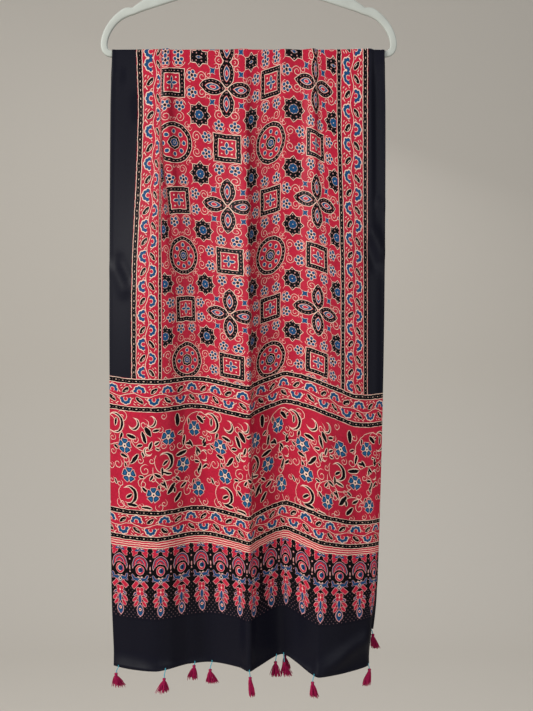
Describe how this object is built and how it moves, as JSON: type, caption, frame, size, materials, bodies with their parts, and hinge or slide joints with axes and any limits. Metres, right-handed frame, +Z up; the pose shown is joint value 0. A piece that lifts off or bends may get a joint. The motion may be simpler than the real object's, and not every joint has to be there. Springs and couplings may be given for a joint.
{
  "type": "ajrakh cloth on a clothes hanger",
  "caption": "Long red, blue and black block-printed ajrakh cloth with tasselled hems, draped over the bar of a plain moulded clothes hanger that hangs by a wire hook.",
  "frame": {"origin": "the inside top of the hook, where the hanger hangs on a rail", "axes": "+Z up, +X along the hanger's bar to the viewer's right, -Y towards the front fall's viewer"},
  "size_m": [0.4438, 0.0821, 1.1591],
  "materials": {
    "printed_cloth": "satin-faced woven cloth, block printed in crimson, black, blue and cream",
    "hanger_plastic": "ivory, with a fine flocked grain",
    "hook_wire": "bright wire",
    "tassel_thread": "twisted turquoise thread",
    "tassel_yarn": "maroon yarn"
  },
  "bodies": {
    "root": {"ajrakh_cloth": "printed_cloth", "hanger_frame": "hanger_plastic", "hanger_hook": "hook_wire", "front_thread_1": "tassel_thread", "front_thread_2": "tassel_thread", "front_thread_3": "tassel_thread", "front_thread_4": "tassel_thread", "front_thread_5": "tassel_thread", "front_thread_6": "tassel_thread", "front_thread_7": "tassel_thread", "front_thread_8": "tassel_thread", "front_thread_9": "tassel_thread", "back_thread_1": "tassel_thread", "back_thread_2": "tassel_thread", "back_thread_3": "tassel_thread", "back_thread_4": "tassel_thread", "back_thread_5": "tassel_thread", "back_thread_6": "tassel_thread", "back_thread_7": "tassel_thread", "back_thread_8": "tassel_thread", "back_thread_9": "tassel_thread", "front_tassel_1": "tassel_yarn", "front_tassel_2": "tassel_yarn", "front_tassel_3": "tassel_yarn", "front_tassel_4": "tassel_yarn", "front_tassel_5": "tassel_yarn", "front_tassel_6": "tassel_yarn", "front_tassel_7": "tassel_yarn", "front_tassel_8": "tassel_yarn", "front_tassel_9": "tassel_yarn", "back_tassel_1": "tassel_yarn", "back_tassel_2": "tassel_yarn", "back_tassel_3": "tassel_yarn", "back_tassel_4": "tassel_yarn", "back_tassel_5": "tassel_yarn", "back_tassel_6": "tassel_yarn", "back_tassel_7": "tassel_yarn", "back_tassel_8": "tassel_yarn", "back_tassel_9": "tassel_yarn"}
  },
  "joints": []
}
